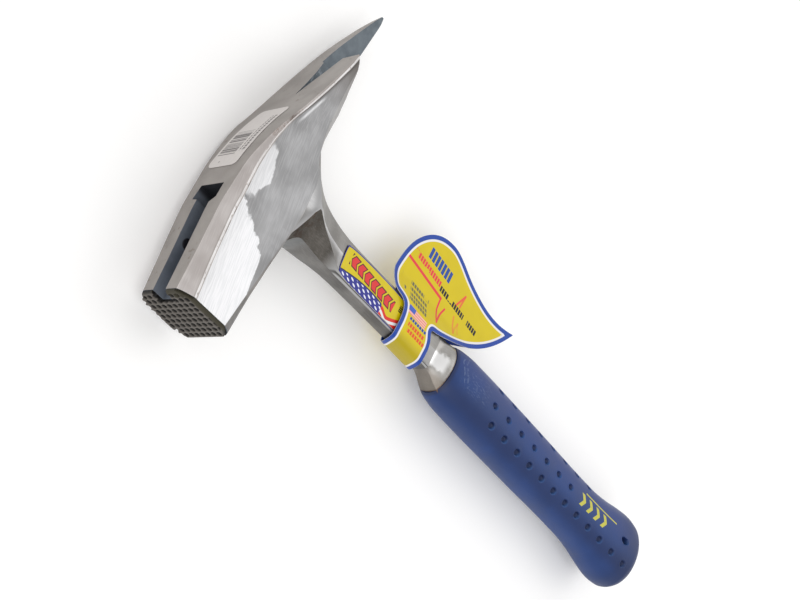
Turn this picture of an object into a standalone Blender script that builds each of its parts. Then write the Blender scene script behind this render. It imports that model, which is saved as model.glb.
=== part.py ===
"""Roofing hammer: one steel forging with a milled face, a nail slot and a split claw,
a moulded grip on its tang, a small magnet, two stickers and a folded card hang tag.

Every piece is modelled in the hammer's own frame and in millimetres, then scaled to
metres: X towards the striking face, Y towards the near cheek, Z up the handle with zero
at the crown of the head. An empty lays that frame on its side, near cheek up.
"""
import math

import bmesh
import bpy
import numpy as np
from mathutils import Matrix

MM = 0.001

# Driving dimensions, in millimetres.
LENGTH = 330.0            # crown of the head to the end of the grip
FACE_X = 67.7             # striking face
TIP_X = -114.0            # point of the long prong
CHEEK = 15.7              # half width across the flat cheeks
LIP = 1.7                 # height of the ridge along the top of each cheek
SLOT_FLOOR = -12.6
SLOT_HALF = (4.6, 4.0)    # half width at the pocket and at the face
POCKET_X = (17.0, 24.0)
POCKET_HALF = (7.2, 8.0)
NOTCH_ROOT = -42.4        # bottom of the nail-pulling notch
SHORT_PRONG_X = -69.0     # edge of the short prong
INNER_FACE = -6.9         # flat inner face of the long prong
MOUTH_Z = -153.0          # end of the steel swell, where the grip starts
TANG = (7.5, 3.0, -300.0)  # half depth, half thickness, lower end
GAP = 0.3                 # left between pieces that touch
MAGNET = (42.0, -9.0, 2.4, 1.8)   # x, z, radius, thickness
REST_HALF = 19.8          # half width over the claw, which the hammer lies on
ORIGIN_X = 23.15          # minus the hammer x half way between the face and the point
ORIGIN_Z = 165.75         # half way between the top of the head and the end of the grip

# Stations along the head, from the face to the long prong's point:
# x, top z, flat half width, lip half width, lip drop, cheek y, low edge y and z, keel y and z
HEAD_STATIONS = [
    (FACE_X, -6.7, 10.2, 15.5, 5.6, CHEEK, CHEEK, -30.3, 12.1, -35.3),
    (50.0, -4.8, 11.4, 15.5, 4.7, CHEEK, CHEEK, -31.8, 13.4, -34.7),
    (38.0, -3.4, 12.0, 15.5, 4.5, CHEEK, CHEEK, -33.0, 15.2, -34.2),
    (24.0, -2.1, 12.6, 15.6, 4.3, CHEEK, CHEEK, -34.2, 15.4, -34.8),
    (8.0, -2.0, 13.4, 16.2, 3.2, CHEEK, CHEEK, -35.4, 15.0, -36.0),
    (-8.0, -3.7, 15.6, 17.7, 1.7, CHEEK, CHEEK, -34.6, 12.0, -35.6),
    (-20.0, -6.2, 17.8, 18.9, 0.9, 16.2, 15.8, -28.6, 8.6, -33.2),
    (-30.0, -9.2, 18.6, 19.5, 0.6, 17.2, 16.1, -25.5, 8.2, -31.6),
    (-45.0, -13.2, 18.9, 19.8, 0.5, 18.1, 17.0, -23.2, 8.0, -31.2),
    (-60.0, -16.9, 18.3, 19.1, 0.5, 17.8, 16.8, -22.7, 8.0, -32.0),
    (-70.0, -19.2, 16.8, 17.6, 0.5, 16.6, 15.6, -24.4, 8.2, -33.0),
    (-82.0, -22.5, 15.8, 16.6, 0.5, 15.8, 14.8, -27.4, 8.5, -33.8),
    (-101.0, -28.8, 13.2, 14.0, 0.4, 13.4, 12.8, -31.8, 8.5, -34.9),
    (-110.0, -32.0, 9.8, 10.4, 0.3, 10.1, 9.8, -33.6, 8.0, -35.3),
    (TIP_X, -33.7, 7.5, 7.8, 0.2, 7.7, 7.6, -34.2, 7.4, -34.8),
]

# Stations down the neck and shank to the swell:
# z, front edge x and y, crown of the front, ridge x and y, rim x and y, back edge x and y,
# depth of the side panel
NECK_STATIONS = [
    (-24.0, 22.0, 11.0, 0.5, 18.0, 14.6, -18.0, 14.2, -28.0, 7.4, 0.0),
    (-31.0, 22.0, 11.8, 0.5, 18.0, 15.5, -16.4, 15.4, -29.0, 7.6, 0.0),
    (-34.5, 21.4, 12.0, 0.5, 17.5, 15.8, -12.6, 15.8, -24.4, 8.2, 0.0),
    (-36.7, 19.2, 11.8, 0.8, 12.6, 15.8, -10.2, 15.8, -20.4, 8.5, 0.0),
    (-39.0, 16.0, 11.2, 1.8, 6.0, 15.8, -7.2, 15.8, -17.8, 8.5, 0.0),
    (-42.0, 12.4, 10.2, 3.0, -2.4, 15.8, -3.8, 15.6, -15.5, 8.2, 0.0),
    (-45.0, 10.4, 9.2, 3.2, -1.8, 14.5, -3.6, 13.9, -13.6, 7.8, 0.0),
    (-50.0, 9.7, 7.9, 1.8, -0.4, 12.4, -2.8, 10.9, -11.7, 7.0, 0.0),
    (-58.0, 9.3, 6.3, 0.8, 1.5, 9.6, -2.0, 8.0, -10.2, 6.1, 0.0),
    (-65.0, 8.6, 5.2, 0.5, 3.2, 7.2, -2.0, 6.2, -9.7, 5.3, 0.1),
    (-72.0, 8.2, 4.4, 0.4, 5.6, 5.4, -2.5, 4.7, -9.6, 4.7, 0.5),
    (-80.0, 7.9, 4.2, 0.4, 6.4, 5.1, -3.0, 4.4, -9.7, 4.5, 0.7),
    (-110.0, 7.2, 4.2, 0.4, 6.0, 5.1, -3.0, 4.4, -10.3, 4.5, 0.7),
    (-130.0, 6.9, 4.2, 0.4, 5.8, 5.1, -3.0, 4.4, -10.7, 4.5, 0.7),
    (-141.5, 7.1, 4.2, 0.5, 5.8, 5.2, -3.0, 4.8, -11.0, 4.8, 0.3),
    (-145.5, 8.4, 4.4, 0.7, 6.9, 6.5, -3.0, 6.9, -11.5, 5.6, 0.0),
    (-149.5, 10.6, 4.8, 0.8, 8.8, 7.9, -3.0, 8.6, -12.4, 6.5, 0.0),
    (MOUTH_Z, 12.2, 5.2, 0.8, 10.0, 8.6, -3.0, 9.4, -13.0, 7.0, 0.0),
]

# Stations down the grip: z, half depth, half thickness
GRIP_STATIONS = [
    (MOUTH_Z - GAP, 13.9, 10.2),
    (-158.0, 14.8, 11.3),
    (-166.0, 15.6, 12.1),
    (-190.0, 15.9, 12.5),
    (-230.0, 15.8, 12.5),
    (-262.0, 15.5, 12.4),
    (-280.0, 15.7, 12.6),
    (-293.0, 17.0, 13.1),
    (-305.0, 19.2, 13.9),
    (-315.0, 20.4, 14.4),
    (-322.0, 19.8, 14.0),
    (-327.0, 17.0, 12.2),
    (-LENGTH, 12.0, 8.6),
]

# The hang tag: a band round the shank and a wing of two glued leaves behind it.
BAND_Z = (-135.2, -113.2)
CARD = 0.45
BAND_DROP = 5.5
BAND_TAIL = -17.6
BAND_OUTER = [(9.0, 0.0), (8.7, 3.6), (7.6, 6.0), (-9.0, 6.1), (-13.5, 3.6), (-17.5, CARD)]
WING = [
    (-14.4, -101.2), (-25.9, -101.6), (-38.8, -104.6), (-47.9, -111.5), (-53.1, -120.8),
    (-54.0, -131.0), (-51.5, -138.2), (-48.3, -145.1), (-45.6, -152.8), (-43.5, -161.4),
    (-42.8, -175.0), (-45.3, -186.7), (-37.5, -183.4), (-32.8, -177.7), (-24.8, -170.3),
    (-20.8, -163.7), (-17.2, -158.0), (-14.6, -150.0),
]

STICKER = (-31.6, 7.5, -11.0, 7.5)        # x range and y range on top of the head
PANEL_Y = 4.6                             # the shank's flat side panel
LABEL = (-8.6, 4.6, -132.0, -72.5)        # x range and z range in the side panel


def smooth(table, t):
    """Monotone cubic through the table's rows; the first column is the key."""
    rows = np.array(sorted(table))
    keys, values = rows[:, 0], rows[:, 1:]
    i = int(np.clip(np.searchsorted(keys, t) - 1, 0, len(keys) - 2))
    slopes = np.diff(values, axis=0) / np.diff(keys)[:, None]

    def tangent(k):
        if k == 0 or k == len(keys) - 1:
            return slopes[min(k, len(slopes) - 1)]
        a, b = slopes[k - 1], slopes[k]
        total = a + b
        safe = np.where(np.abs(total) < 1e-9, 1.0, total)
        return np.where(a * b > 0.0, 2.0 * a * b / safe, 0.0)

    h = keys[i + 1] - keys[i]
    s = (t - keys[i]) / h
    near, far = values[i], values[i + 1]
    return ((1 + 2 * s) * (1 - s) ** 2 * near + s * (1 - s) ** 2 * h * tangent(i)
            + s * s * (3 - 2 * s) * far + s * s * (s - 1) * h * tangent(i + 1))


def steps(table, spacing):
    """Keys of the table with even steps of about the spacing between them."""
    keys = sorted(row[0] for row in table)
    places = [keys[0]]
    for low, high in zip(keys[:-1], keys[1:]):
        count = max(1, round((high - low) / spacing))
        places += [low + (high - low) * k / count for k in range(1, count + 1)]
    return places


def material(name, colour, roughness, metallic):
    mat = bpy.data.materials.new(name)
    mat.use_nodes = True
    shader = mat.node_tree.nodes["Principled BSDF"]
    shader.inputs["Base Color"].default_value = (*colour, 1.0)
    shader.inputs["Roughness"].default_value = roughness
    shader.inputs["Metallic"].default_value = metallic
    return mat


def clear_scene():
    for obj in list(bpy.data.objects):
        bpy.data.objects.remove(obj, do_unlink=True)


def collection(name):
    group = bpy.data.collections.new(name)
    bpy.context.scene.collection.children.link(group)
    return group


def add_object(name, bm, group):
    """Turn a bmesh drawn in millimetres into an object in metres."""
    bmesh.ops.recalc_face_normals(bm, faces=bm.faces)
    bmesh.ops.scale(bm, vec=(MM, MM, MM), verts=bm.verts)
    mesh = bpy.data.meshes.new(name)
    bm.to_mesh(mesh)
    bm.free()
    obj = bpy.data.objects.new(name, mesh)
    group.objects.link(obj)
    return obj


def loft(name, rings, group):
    """Closed body through rings of equal length, capped at both ends."""
    bm = bmesh.new()
    loops = [[bm.verts.new(p) for p in ring] for ring in rings]
    count = len(loops[0])
    for first, second in zip(loops[:-1], loops[1:]):
        for k in range(count):
            n = (k + 1) % count
            bm.faces.new((first[k], first[n], second[n], second[k]))
    bm.faces.new(loops[0])
    bm.faces.new(loops[-1])
    return add_object(name, bm, group)


def prism(name, outline, plane, low, high, group):
    """A flat outline in the XY or XZ plane, drawn out along the third axis."""
    place = {"XY": lambda a, b, c: (a, b, c), "XZ": lambda a, b, c: (a, c, b)}[plane]
    return loft(name, [[place(a, b, c) for a, b in outline] for c in (low, high)], group)


def block(name, centre, size, group):
    bm = bmesh.new()
    bmesh.ops.create_cube(bm, size=1.0)
    bmesh.ops.scale(bm, vec=size, verts=bm.verts)
    bmesh.ops.translate(bm, vec=centre, verts=bm.verts)
    return add_object(name, bm, group)


def disc(name, centre, radius, height, sides, group):
    """A cylinder along Y."""
    bm = bmesh.new()
    bmesh.ops.create_cone(bm, cap_ends=True, segments=sides, radius1=radius,
                          radius2=radius, depth=height)
    bmesh.ops.rotate(bm, matrix=Matrix.Rotation(math.pi / 2, 3, "X"), verts=bm.verts)
    bmesh.ops.translate(bm, vec=centre, verts=bm.verts)
    return add_object(name, bm, group)


def boolean(obj, operation, other):
    mod = obj.modifiers.new(operation.lower(), "BOOLEAN")
    mod.operation = operation
    mod.object = other
    mod.solver = "EXACT"


def hide_cutters(group):
    for obj in group.objects:
        obj.hide_render = True
        obj.display_type = "WIRE"


def mirrored(half):
    """Closed ring from the half with positive y, both of whose ends lie on y = 0."""
    return half + [(a, -b, c) for a, b, c in reversed(half[1:-1])]


def head_top(x):
    return smooth(HEAD_STATIONS, x)[0]


def head_ring(x):
    top, flat, half, drop, cheek, low_y, low_z, keel_y, keel_z = smooth(HEAD_STATIONS, x)
    points = [(0.0, top), (flat * 0.5, top)]
    for k in range(5):
        s = k / 4
        points.append((flat + (half - flat) * s, top - drop * s ** 1.6))
    lip_z = top - drop - min(LIP, 0.35 * (top - drop - low_z))
    points.append((cheek, lip_z))
    for s in (0.33, 0.67, 1.0):
        points.append((cheek + (low_y - cheek) * s, lip_z + (low_z - lip_z) * s))
    points.append(((low_y + keel_y) / 2 + 0.4, (low_z + keel_z) / 2 - 0.2))
    points += [(keel_y, keel_z), (keel_y * 0.5, keel_z), (0.0, keel_z)]
    return mirrored([(x, y, z) for y, z in points])


def neck_ring(z):
    (front_x, front_y, crown, ridge_x, ridge_y, rim_x, rim_y,
     back_x, back_y, panel) = smooth(NECK_STATIONS, z)
    base_x = ridge_x - 0.5
    base_y = ridge_y + (rim_y - ridge_y) * 0.5 / max(ridge_x - rim_x, 0.5) - panel * 0.8
    half = [(front_x + crown, 0.0), (front_x + crown * 0.75, front_y * 0.5)]
    half += [(front_x, front_y), (ridge_x, ridge_y), (base_x, base_y)]
    for s in (0.5, 1.0):
        half.append((base_x + (rim_x - base_x) * s, base_y + (rim_y - base_y) * s))
    half += [((rim_x + back_x) / 2, (rim_y + back_y) / 2), (back_x, back_y)]
    half += [(back_x - 0.4, back_y * 0.5), (back_x - 0.5, 0.0)]
    return mirrored([(x, min(y, CHEEK), z) for x, y in half])


def grip_ring(z, sides=40):
    depth, thick = smooth(GRIP_STATIONS, z)
    ring = []
    for k in range(sides):
        a = 2 * math.pi * k / sides
        ring.append((depth * math.copysign(abs(math.cos(a)) ** 0.93, math.cos(a)),
                     thick * math.copysign(abs(math.sin(a)) ** 0.93, math.sin(a)), z))
    return ring


def make_forging(parts, cutters):
    forging = loft("hammer_forging", [head_ring(x) for x in steps(HEAD_STATIONS, 5.0)], parts)
    neck = loft("neck_and_shank", [neck_ring(z) for z in steps(NECK_STATIONS, 4.0)], cutters)
    boolean(forging, "UNION", neck)
    tang_top = MOUTH_Z + 4.0
    tang = block("tang", (0.0, 0.0, (tang_top + TANG[2]) / 2),
                 (2 * TANG[0], 2 * TANG[1], tang_top - TANG[2]), cutters)
    boolean(forging, "UNION", tang)

    far = TIP_X - 20.0
    notch = [(NOTCH_ROOT, 0.0), (-51.9, 2.0), (-59.4, 4.3), (SHORT_PRONG_X, 7.4),
             (SHORT_PRONG_X, 30.0), (far, 30.0), (far, INNER_FACE), (-70.4, INNER_FACE),
             (SHORT_PRONG_X, -4.8), (-62.8, -3.1), (-51.2, -1.1)]
    boolean(forging, "DIFFERENCE", prism("claw_notch", notch, "XY", -60.0, 10.0, cutters))
    wedge = [(SHORT_PRONG_X - 2.0, -19.6), (SHORT_PRONG_X, -20.1), (-66.5, -22.0),
             (-62.0, -23.8), (-54.0, -26.0), (-48.0, -29.0), (-43.4, -36.0), (-43.4, -50.0),
             (SHORT_PRONG_X - 2.0, -50.0)]
    boolean(forging, "DIFFERENCE", prism("short_prong_wedge", wedge, "XZ", 0.3, 30.0, cutters))

    mouth = FACE_X + 5.0
    slot = [(POCKET_X[1] - 2.0, -SLOT_HALF[0]), (mouth, -SLOT_HALF[1]),
            (mouth, SLOT_HALF[1]), (POCKET_X[1] - 2.0, SLOT_HALF[0])]
    boolean(forging, "DIFFERENCE", prism("nail_slot", slot, "XY", SLOT_FLOOR, 10.0, cutters))
    pocket = [(POCKET_X[0], -POCKET_HALF[0]), (POCKET_X[1], -POCKET_HALF[1]),
              (POCKET_X[1], POCKET_HALF[1]), (POCKET_X[0], POCKET_HALF[0])]
    boolean(forging, "DIFFERENCE", prism("head_pocket", pocket, "XY", SLOT_FLOOR, 10.0, cutters))
    x, z, radius, thick = MAGNET
    wall = -(SLOT_HALF[0] + SLOT_HALF[1]) / 2
    depth = thick + 2 * GAP
    boolean(forging, "DIFFERENCE",
            disc("magnet_bore", (x, wall - depth / 2 + 1.0, z), radius + GAP, depth + 2.0,
                 24, cutters))
    forging.data.materials.append(material("steel", (0.55, 0.55, 0.56), 0.32, 1.0))
    return forging


def make_grip(parts, cutters):
    grip = loft("grip", [grip_ring(z) for z in steps(GRIP_STATIONS, 6.0)], parts)
    low = TANG[2] - GAP
    hollow = block("tang_hollow", (0.0, 0.0, (low + 10.0 + MOUTH_Z) / 2),
                   (2 * (TANG[0] + GAP), 2 * (TANG[1] + GAP), MOUTH_Z + 10.0 - low), cutters)
    boolean(grip, "DIFFERENCE", hollow)
    grip.data.materials.append(material("blue_grip", (0.03, 0.07, 0.25), 0.55, 0.0))
    return grip


def make_magnet(parts):
    x, z, radius, thick = MAGNET
    wall = -(SLOT_HALF[0] + SLOT_HALF[1]) / 2
    magnet = disc("nail_magnet", (x, wall - GAP - thick / 2, z), radius, thick, 24, parts)
    magnet.data.materials.append(material("magnet", (0.1, 0.1, 0.11), 0.4, 1.0))
    return magnet


def make_sticker(parts):
    """A thin sheet that follows the curve of the top of the head."""
    x0, x1, y0, y1 = STICKER
    rings = []
    for k in range(15):
        x = x0 + (x1 - x0) * k / 14
        inset = 2.0 if k in (0, 14) else 0.0
        low = head_top(x) + GAP
        high = low + 0.2
        rings.append([(x, y0 + inset, low), (x, y1 - inset, low),
                      (x, y1 - inset, high), (x, y0 + inset, high)])
    sticker = loft("head_sticker", rings, parts)
    sticker.data.materials.append(material("sticker_paper", (0.6, 0.58, 0.56), 0.7, 0.0))
    return sticker


def make_label(parts):
    x0, x1, z0, z1 = LABEL
    side = PANEL_Y + GAP
    label = block("shank_label", ((x0 + x1) / 2, side + 0.08, (z0 + z1) / 2),
                  (x1 - x0, 0.16, z1 - z0), parts)
    label.data.materials.append(material("label_film", (0.75, 0.6, 0.03), 0.4, 0.0))
    return label


def band_shift(x, y):
    """How far the band's far side hangs below its near side, most at the front."""
    front = (x - BAND_TAIL) / (BAND_OUTER[0][0] - BAND_TAIL)
    return -BAND_DROP * front * (0.5 - y / (2 * BAND_OUTER[3][1]))


def make_tag(parts, cutters):
    """The band is a pointed ring; its tail meets the wing's two glued leaves."""
    outer = [(x, y) for x, y, _ in
             mirrored([(x, y, 0.0) for x, y in BAND_OUTER] + [(BAND_TAIL, 0.0, 0.0)])]
    tag = loft("hang_tag", [[(x, y, z + band_shift(x, y)) for x, y in outer]
                            for z in BAND_Z], parts)
    front = BAND_OUTER[0][0]
    inner = [(front - CARD, 0.0)] + [(min(x, front - CARD), y - CARD) for x, y in BAND_OUTER[1:-1]]
    hollow = [(x, y) for x, y, _ in mirrored([(x, y, 0.0) for x, y in inner] +
                                             [(BAND_TAIL + 1.4, 0.0, 0.0)])]
    boolean(tag, "DIFFERENCE", prism("band_hollow", hollow, "XY", BAND_Z[0] - 15.0,
                                     BAND_Z[1] + 15.0, cutters))
    boolean(tag, "UNION", prism("wing", WING, "XZ", -CARD, CARD, cutters))
    tag.data.materials.append(material("tag_card", (0.75, 0.6, 0.03), 0.5, 0.0))
    return tag


def main():
    clear_scene()
    parts = collection("roofing_hammer")
    cutters = collection("cutters")
    pieces = [make_forging(parts, cutters), make_grip(parts, cutters), make_magnet(parts),
              make_sticker(parts), make_label(parts), make_tag(parts, cutters)]

    frame = bpy.data.objects.new("hammer_frame", None)
    frame.matrix_world = Matrix(((0, 0, 1, ORIGIN_Z * MM), (1, 0, 0, ORIGIN_X * MM),
                                 (0, 1, 0, REST_HALF * MM), (0, 0, 0, 1)))
    parts.objects.link(frame)
    for obj in pieces + list(cutters.objects):
        obj.parent = frame
    for obj in pieces:
        obj.data.shade_smooth()
        obj.data.set_sharp_from_angle(angle=math.radians(30))
    hide_cutters(cutters)


main()
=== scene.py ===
"""The looks of a roofing hammer: brushed steel forging with a milled face, blue moulded grip,
nail magnet, bar-code sticker, shank label and folded card hang tag, on a pale floor.

Every piece is drawn in the hammer's own frame and in millimetres, as in the CAD model:
X towards the striking face, Y towards the near cheek, Z up the handle with zero at the
crown of the head. add_object() lays them in the row frame, in metres.
"""
import math

import bmesh
import bpy
import numpy as np
from mathutils import Matrix, Vector


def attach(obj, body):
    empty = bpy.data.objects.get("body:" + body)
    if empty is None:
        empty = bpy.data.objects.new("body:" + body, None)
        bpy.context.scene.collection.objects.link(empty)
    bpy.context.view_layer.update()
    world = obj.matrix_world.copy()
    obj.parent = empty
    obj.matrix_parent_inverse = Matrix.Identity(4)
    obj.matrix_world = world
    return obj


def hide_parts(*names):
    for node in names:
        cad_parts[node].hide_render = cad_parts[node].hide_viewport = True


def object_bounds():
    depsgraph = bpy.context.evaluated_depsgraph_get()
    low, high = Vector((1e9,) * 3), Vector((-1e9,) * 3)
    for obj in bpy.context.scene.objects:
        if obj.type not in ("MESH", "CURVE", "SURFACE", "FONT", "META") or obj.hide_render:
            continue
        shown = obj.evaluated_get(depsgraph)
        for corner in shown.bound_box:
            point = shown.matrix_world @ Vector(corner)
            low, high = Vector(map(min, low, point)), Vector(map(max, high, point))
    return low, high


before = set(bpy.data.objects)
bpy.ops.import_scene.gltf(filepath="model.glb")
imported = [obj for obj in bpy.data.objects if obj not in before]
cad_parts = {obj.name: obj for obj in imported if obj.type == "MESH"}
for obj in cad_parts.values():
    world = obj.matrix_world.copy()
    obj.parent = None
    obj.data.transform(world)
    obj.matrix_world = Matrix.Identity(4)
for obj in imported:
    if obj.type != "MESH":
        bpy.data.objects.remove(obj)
cad_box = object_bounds()

MM = 0.001
HIGH = cad_box[1]
# The hammer frame's zero in the row frame, in millimetres, read from the CAD box.
CROWN = 2.0                                   # the top of the head stands this far under zero
ORIGIN = Vector((HIGH.x / MM + CROWN - 0.5, HIGH.y / MM - 67.7, HIGH.z / MM / 2))

FACE_X, TIP_X = 67.7, -114.0
CHEEK, LIP = 15.7, 1.7
SLOT_FLOOR, SLOT_HALF = -12.6, (4.6, 4.0)
POCKET_X, POCKET_HALF = (17.0, 24.0), (7.2, 8.0)
PLATE, PLATE_BACK = 1.2, 1.5                  # forging's front and plate's back, behind FACE_X
PIT_PITCH, PIT_REACH = (3.5, 3.05), (0.43, 0.42)  # across and up; the reach is in pitches
PIT_LEAN, PIT_DEPTH = 0.12, 1.4
NOTCH_ROOT, SHORT_PRONG_X, INNER_FACE = -42.4, -69.0, -6.9
MOUTH_Z, GRIP_END = -153.0, -330.0
SWELL_Z = -141.5                              # the shank starts to swell below this
MAGNET = (42.0, -9.0, 2.4, 1.8)               # x, z, radius, thickness
BAND_DROP, BAND_TAIL = 5.5, -17.6             # the tag's band: rise of its front, back end

# x, top z, flat half width, lip half width, lip drop, cheek y, low edge y and z, keel y and z
HEAD_STATIONS = [
    (FACE_X, -6.7, 10.2, 15.5, 5.6, CHEEK, CHEEK, -30.3, 12.1, -35.3),
    (50.0, -4.8, 11.4, 15.5, 4.7, CHEEK, CHEEK, -31.8, 13.4, -34.7),
    (38.0, -3.4, 12.0, 15.5, 4.5, CHEEK, CHEEK, -33.0, 15.2, -34.2),
    (24.0, -2.1, 12.6, 15.6, 4.3, CHEEK, CHEEK, -34.2, 15.4, -34.8),
    (8.0, -2.0, 13.4, 16.2, 3.2, CHEEK, CHEEK, -35.4, 15.0, -36.0),
    (-8.0, -3.7, 15.6, 17.7, 1.7, CHEEK, CHEEK, -34.6, 12.0, -35.6),
    (-20.0, -6.2, 17.8, 18.9, 0.9, 16.2, 15.8, -28.6, 8.6, -33.2),
    (-30.0, -9.2, 18.6, 19.5, 0.6, 17.2, 16.1, -25.5, 8.2, -31.6),
    (-45.0, -13.2, 18.9, 19.8, 0.5, 18.1, 17.0, -23.2, 8.0, -31.2),
    (-60.0, -16.9, 18.3, 19.1, 0.5, 17.8, 16.8, -22.7, 8.0, -32.0),
    (-70.0, -19.2, 16.8, 17.6, 0.5, 16.6, 15.6, -24.4, 8.2, -33.0),
    (-82.0, -22.5, 15.8, 16.6, 0.5, 15.8, 14.8, -27.4, 8.5, -33.8),
    (-101.0, -28.8, 13.2, 14.0, 0.4, 13.4, 12.8, -31.8, 8.5, -34.9),
    (-110.0, -32.0, 9.8, 10.4, 0.3, 10.1, 9.8, -33.6, 8.0, -35.3),
    (TIP_X, -33.7, 7.5, 7.8, 0.2, 7.7, 7.6, -34.2, 7.4, -34.8),
]
# z, front edge x and y, crown of the front, ridge x and y, rim x and y, back edge x and y, panel
NECK_STATIONS = [
    (-24.0, 22.0, 11.0, 0.5, 18.0, 14.6, -18.0, 14.2, -28.0, 7.4, 0.0),
    (-31.0, 22.0, 11.8, 0.5, 18.0, 15.5, -16.4, 15.4, -29.0, 7.6, 0.0),
    (-34.5, 21.4, 12.0, 0.5, 17.5, 15.8, -12.6, 15.8, -24.4, 8.2, 0.0),
    (-36.7, 19.2, 11.8, 0.8, 12.6, 15.8, -10.2, 15.8, -20.4, 8.5, 0.0),
    (-39.0, 16.0, 11.2, 1.8, 6.0, 15.8, -7.2, 15.8, -17.8, 8.5, 0.0),
    (-42.0, 12.4, 10.2, 3.0, -2.4, 15.8, -3.8, 15.6, -15.5, 8.2, 0.0),
    (-45.0, 10.4, 9.2, 3.2, -1.8, 14.5, -3.6, 13.9, -13.6, 7.8, 0.0),
    (-50.0, 9.7, 7.9, 1.8, -0.4, 12.4, -2.8, 10.9, -11.7, 7.0, 0.0),
    (-58.0, 9.3, 6.3, 0.8, 1.5, 9.6, -2.0, 8.0, -10.2, 6.1, 0.0),
    (-65.0, 8.6, 5.2, 0.5, 3.2, 7.2, -2.0, 6.2, -9.7, 5.3, 0.1),
    (-72.0, 8.2, 4.4, 0.4, 5.6, 5.4, -2.5, 4.7, -9.6, 4.7, 0.5),
    (-80.0, 7.9, 4.2, 0.4, 6.4, 5.1, -3.0, 4.4, -9.7, 4.5, 0.7),
    (-110.0, 7.2, 4.2, 0.4, 6.0, 5.1, -3.0, 4.4, -10.3, 4.5, 0.7),
    (-130.0, 6.9, 4.2, 0.4, 5.8, 5.1, -3.0, 4.4, -10.7, 4.5, 0.7),
    (-141.5, 7.1, 4.2, 0.5, 5.8, 5.2, -3.0, 4.8, -11.0, 4.8, 0.3),
    (-145.5, 8.4, 4.4, 0.7, 6.9, 6.5, -3.0, 6.9, -11.5, 5.6, 0.0),
    (-149.5, 10.6, 4.8, 0.8, 8.8, 7.9, -3.0, 8.6, -12.4, 6.5, 0.0),
    (MOUTH_Z - 1.5, 12.5, 5.3, 0.8, 10.3, 8.8, -3.0, 9.6, -13.2, 7.1, 0.0),
]
# z, half depth, half thickness
GRIP_STATIONS = [
    (MOUTH_Z + 0.6, 13.2, 9.7),
    (MOUTH_Z - 1.5, 14.1, 10.5),
    (-158.0, 14.8, 11.3),
    (-166.0, 15.6, 12.1),
    (-190.0, 15.9, 12.5),
    (-230.0, 15.8, 12.5),
    (-262.0, 15.5, 12.4),
    (-280.0, 15.7, 12.6),
    (-293.0, 17.0, 13.1),
    (-305.0, 19.2, 13.9),
    (-315.0, 20.4, 14.4),
    (-322.0, 19.8, 14.0),
    (-327.0, 17.0, 12.2),
    (-329.2, 13.6, 9.6),
    (GRIP_END, 9.0, 6.2),
]
# Rows of grip dimples: angle round from the front, first z, pitch, count, radius along and across
DIMPLES = [
    (59.0, -188.0, -11.6, 12, 2.0, 1.7),
    (95.0, -184.0, -12.0, 7, 1.9, 1.45),
    (142.0, -187.0, -12.3, 8, 1.9, 1.5),
]
HANG_HOLE = (97.0, -310.0, 2.9, 1.6)          # angle, z, radius along and across

# Cross-section of the tag's near leaf, from the middle of its front fold to the wing.
LEAF_PATH = [(9.0, 0.0), (9.0, 3.2), (8.2, 6.1), (5.5, 6.15), (-8.0, 6.1), (-11.0, 5.7),
             (-20.0, 0.9), (-24.0, 0.3), (-60.0, 0.3)]
# The near leaf's outline beyond the band, as x and z, from the band's top edge to its lower edge.
LEAF_TOP = [(0.0, -113.4), (-4.2, -112.9), (-7.6, -111.6), (-9.2, -108.6), (-9.7, -105.2),
            (-11.2, -102.4), (-14.4, -101.0), (-19.5, -101.0), (-25.9, -101.6), (-32.5, -102.7),
            (-38.8, -104.8), (-43.9, -107.9), (-47.9, -111.5), (-51.1, -115.9), (-53.1, -120.8),
            (-54.0, -126.2), (-53.8, -131.4), (-51.5, -138.2), (-48.3, -145.1), (-45.6, -152.8),
            (-43.5, -161.4), (-42.7, -168.4), (-42.8, -175.0), (-43.8, -181.0), (-45.3, -186.7)]
# The far leaf's top edge, and the lower edge that both leaves share.
FAR_TOP = [(0.0, -113.4), (-8.0, -113.6), (-14.0, -112.0), (-19.0, -106.4), (-24.0, -103.2),
           (-30.0, -103.2), (-36.0, -104.6)]
LEAF_LOW = [(-45.3, -186.7), (-38.4, -182.6), (-31.4, -177.2), (-25.2, -170.8), (-20.2, -163.6),
            (-16.6, -156.4), (-13.4, -149.2), (-10.6, -142.2), (-8.8, -136.8), (-8.4, -133.6),
            (-7.2, -132.9), (-5.4, -133.9), (-2.6, -135.4), (1.0, -136.0)]

LABEL_BLUE = (42, 46, 140)
TAG_BLUE, TAG_RED, TAG_GREY, TAG_ORANGE = (34, 74, 158), (224, 62, 66), (70, 80, 84), (222, 84, 40)
# Rows of dashes on the tag: x, half width, top z, bottom z, lean, strength, ink
TAG_ROWS = [
    (-35.7, 1.5, -107.8, -130.4, 0.13, 1.0, TAG_RED),
    (-31.6, 1.4, -131.0, -163.4, 0.095, 1.0, (34, 30, 34)),
    (-21.9, 0.95, -106.8, -128.0, 0.06, 0.85, TAG_GREY),
    (-18.6, 0.95, -107.8, -127.0, 0.06, 0.85, TAG_GREY),
    (-15.4, 0.95, -108.6, -127.2, 0.06, 0.85, TAG_GREY),
    (-12.6, 0.95, -113.4, -127.0, 0.06, 0.85, TAG_GREY),
    (-4.2, 0.7, -118.0, -131.0, 0.0, 1.0, TAG_BLUE),
    (-1.4, 0.95, -118.6, -130.8, 0.0, 1.0, TAG_ORANGE),
    (1.4, 0.95, -119.4, -132.6, 0.0, 1.0, TAG_ORANGE),
]
TAG_RULE = [(-31.1, -104.3), (-27.6, -134.0), (-14.4, -134.9), (-25.0, -139.0)]
TAG_SPARK = [(-32.1, -144.6), (-39.1, -147.7), (-32.3, -147.1), (-26.1, -146.2), (-18.6, -148.9),
             (-24.8, -150.4), (-20.3, -152.3)]


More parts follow.
